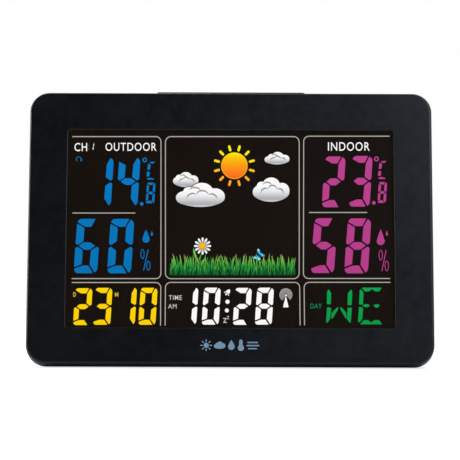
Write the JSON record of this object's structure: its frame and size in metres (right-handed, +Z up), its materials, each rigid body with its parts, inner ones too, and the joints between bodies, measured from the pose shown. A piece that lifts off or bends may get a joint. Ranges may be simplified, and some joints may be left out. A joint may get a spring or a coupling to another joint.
{
  "type": "home weather station",
  "caption": "Desk weather station console: black slab with a wide colour display, leaning back on a fold-out foot, with rear keys, battery bay and a long top key.",
  "frame": {"origin": "middle of the flat strip under the rear cover, where the console stands on the table", "axes": "+X to the right of someone reading the display, +Y from the display towards the back, +Z up; the case leans back 12 degrees from +Z"},
  "size_m": [0.2, 0.0698, 0.1358],
  "materials": {
    "black_abs": "fine satin black ABS with a bluish sheen",
    "grey_abs": "moulded dark grey",
    "clear_acrylic": "polished smoke-tinted acrylic",
    "lcd_glass": "brownish black display glass with coloured segments",
    "white_abs": "moulded white",
    "light_guide": "clear to milky acrylic",
    "pcb_green": "green solder mask",
    "steel": "zinc-plated steel",
    "nickel": "nickel-plated spring steel",
    "switch_black": "black moulded component body",
    "ferrite": "sintered dark grey ferrite",
    "copper": "enamelled copper wire",
    "ribbon_amber": "amber polyimide film",
    "cell_jacket": "plain printed jacket, unmarked",
    "rubber": "black rubber",
    "wire_red": "red PVC insulation",
    "wire_black": "black PVC insulation"
  },
  "bodies": {
    "console": {"alarm_switch": "switch_black", "backlight_led_strip": "white_abs", "battery_cell_1": "cell_jacket", "battery_cell_2": "cell_jacket", "battery_cell_3": "cell_jacket", "battery_lead_black": "wire_black", "battery_lead_red": "wire_red", "board_screw_1": "steel", "board_screw_2": "steel", "board_screw_3": "steel", "bridge_contact_lower": "nickel", "bridge_contact_upper": "nickel", "channel_switch": "switch_black", "clock_coil": "copper", "clock_crystal": "steel", "clock_ferrite_rod": "ferrite", "controller_chip": "switch_black", "dc_jack": "switch_black", "display_window": "clear_acrylic", "down_switch": "switch_black", "front_bezel": "black_abs", "housing_screw_1": "steel", "housing_screw_2": "steel", "housing_screw_3": "steel", "housing_screw_4": "steel", "housing_screw_5": "steel", "housing_screw_6": "steel", "lcd_carrier": "white_abs", "lcd_panel": "lcd_glass", "lcd_ribbon": "ribbon_amber", "light_guide": "light_guide", "main_pcb": "pcb_green", "memory_switch": "switch_black", "mode_switch": "switch_black", "negative_contact": "nickel", "piezo_buzzer": "switch_black", "positive_contact": "nickel", "rear_cover": "black_abs", "rf_antenna_coil": "copper", "rf_receiver_board": "pcb_green", "sensor_board": "pcb_green", "snooze_switch": "switch_black", "up_switch": "switch_black"},
    "foot": {"foldout_foot": "black_abs", "foot_rubber_strip": "rubber"},
    "door": {"battery_door": "black_abs"},
    "snooze": {"snooze_light_key": "black_abs", "snooze_switch_plunger": "grey_abs"},
    "mode": {"mode_key": "black_abs", "mode_switch_plunger": "grey_abs"},
    "alarm": {"alarm_key": "black_abs", "alarm_switch_plunger": "grey_abs"},
    "channel": {"channel_key": "black_abs", "channel_switch_plunger": "grey_abs"},
    "memory": {"memory_key": "black_abs", "memory_switch_plunger": "grey_abs"},
    "down": {"down_key": "black_abs", "down_switch_plunger": "grey_abs"},
    "up": {"up_key": "black_abs", "up_switch_plunger": "grey_abs"}
  },
  "joints": [
    {"name": "foot_hinge", "type": "hinge", "parent": "console", "child": "foot", "pos_m": [0, 0.00918, 0.00375], "axis": [1, 0, 0], "range_deg": [0, 80.2], "stiffness_Nm_per_rad": 0.02, "springref_deg": -143.24},
    {"name": "battery_door_hinge", "type": "hinge", "parent": "console", "child": "door", "pos_m": [0.0665, 0.01161, 0.01182], "axis": [-1, 0, 0], "range_deg": [0, 70]},
    {"name": "snooze_press", "type": "slide", "parent": "console", "child": "snooze", "axis": [0, -0.2079, -0.9781], "range_m": [0, 0.0006], "stiffness_N_per_m": 300, "springref_m": -0.002},
    {"name": "mode_press", "type": "slide", "parent": "console", "child": "mode", "axis": [0, -0.9781, 0.2079], "range_m": [0, 0.0005], "stiffness_N_per_m": 100, "springref_m": -0.002},
    {"name": "alarm_press", "type": "slide", "parent": "console", "child": "alarm", "axis": [0, -0.9781, 0.2079], "range_m": [0, 0.0005], "stiffness_N_per_m": 100, "springref_m": -0.002},
    {"name": "channel_press", "type": "slide", "parent": "console", "child": "channel", "axis": [0, -0.9781, 0.2079], "range_m": [0, 0.0005], "stiffness_N_per_m": 100, "springref_m": -0.002},
    {"name": "memory_press", "type": "slide", "parent": "console", "child": "memory", "axis": [0, -0.9781, 0.2079], "range_m": [0, 0.0005], "stiffness_N_per_m": 100, "springref_m": -0.002},
    {"name": "down_press", "type": "slide", "parent": "console", "child": "down", "axis": [0, -0.9781, 0.2079], "range_m": [0, 0.0005], "stiffness_N_per_m": 100, "springref_m": -0.002},
    {"name": "up_press", "type": "slide", "parent": "console", "child": "up", "axis": [0, -0.9781, 0.2079], "range_m": [0, 0.0005], "stiffness_N_per_m": 100, "springref_m": -0.002}
  ]
}
